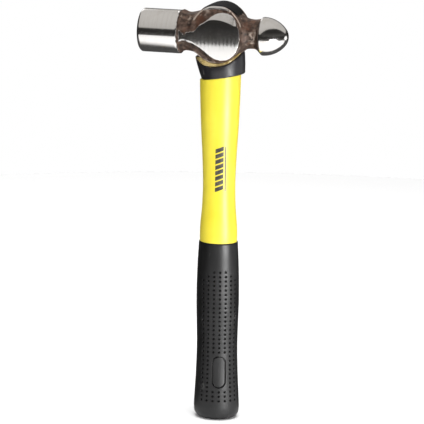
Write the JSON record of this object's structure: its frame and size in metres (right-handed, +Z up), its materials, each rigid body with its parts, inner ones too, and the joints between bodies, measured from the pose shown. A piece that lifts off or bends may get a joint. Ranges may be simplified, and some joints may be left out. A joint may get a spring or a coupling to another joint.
{
  "type": "ball pein hammer",
  "caption": "Hand hammer with a flat striking face and a ball pein on a forged head, a moulded fibreglass handle, an overstrike collar and a dimpled rubber grip.",
  "frame": {"origin": "centre of the butt's flat resting face, on the handle's axis", "axes": "+Z up the handle to the head, +X from the eye to the ball pein, -X to the striking face, +Y across the head's cheeks"},
  "size_m": [0.1179, 0.034, 0.3307],
  "materials": {
    "head_steel": "ground and polished faces with dark forged scale between them",
    "fibreglass_rod": "pultruded glass fibre",
    "yellow_jacket": "moulded, satin gloss",
    "collar_rubber": "moulded rubber, slightly scuffed",
    "cast_resin": "cast amber resin",
    "black_seal": "brushed-on black seal",
    "grip_rubber": "moulded rubber with dimples",
    "pad_rubber": "smooth moulded rubber",
    "print_ink": "pad-printed ink"
  },
  "bodies": {
    "root": {"hammer_head": "head_steel", "core_rod": "fibreglass_rod", "handle_jacket": "yellow_jacket", "overstrike_collar": "collar_rubber", "eye_resin": "cast_resin", "eye_cap": "black_seal", "rubber_grip": "grip_rubber", "grip_pad": "pad_rubber"}
  },
  "joints": []
}
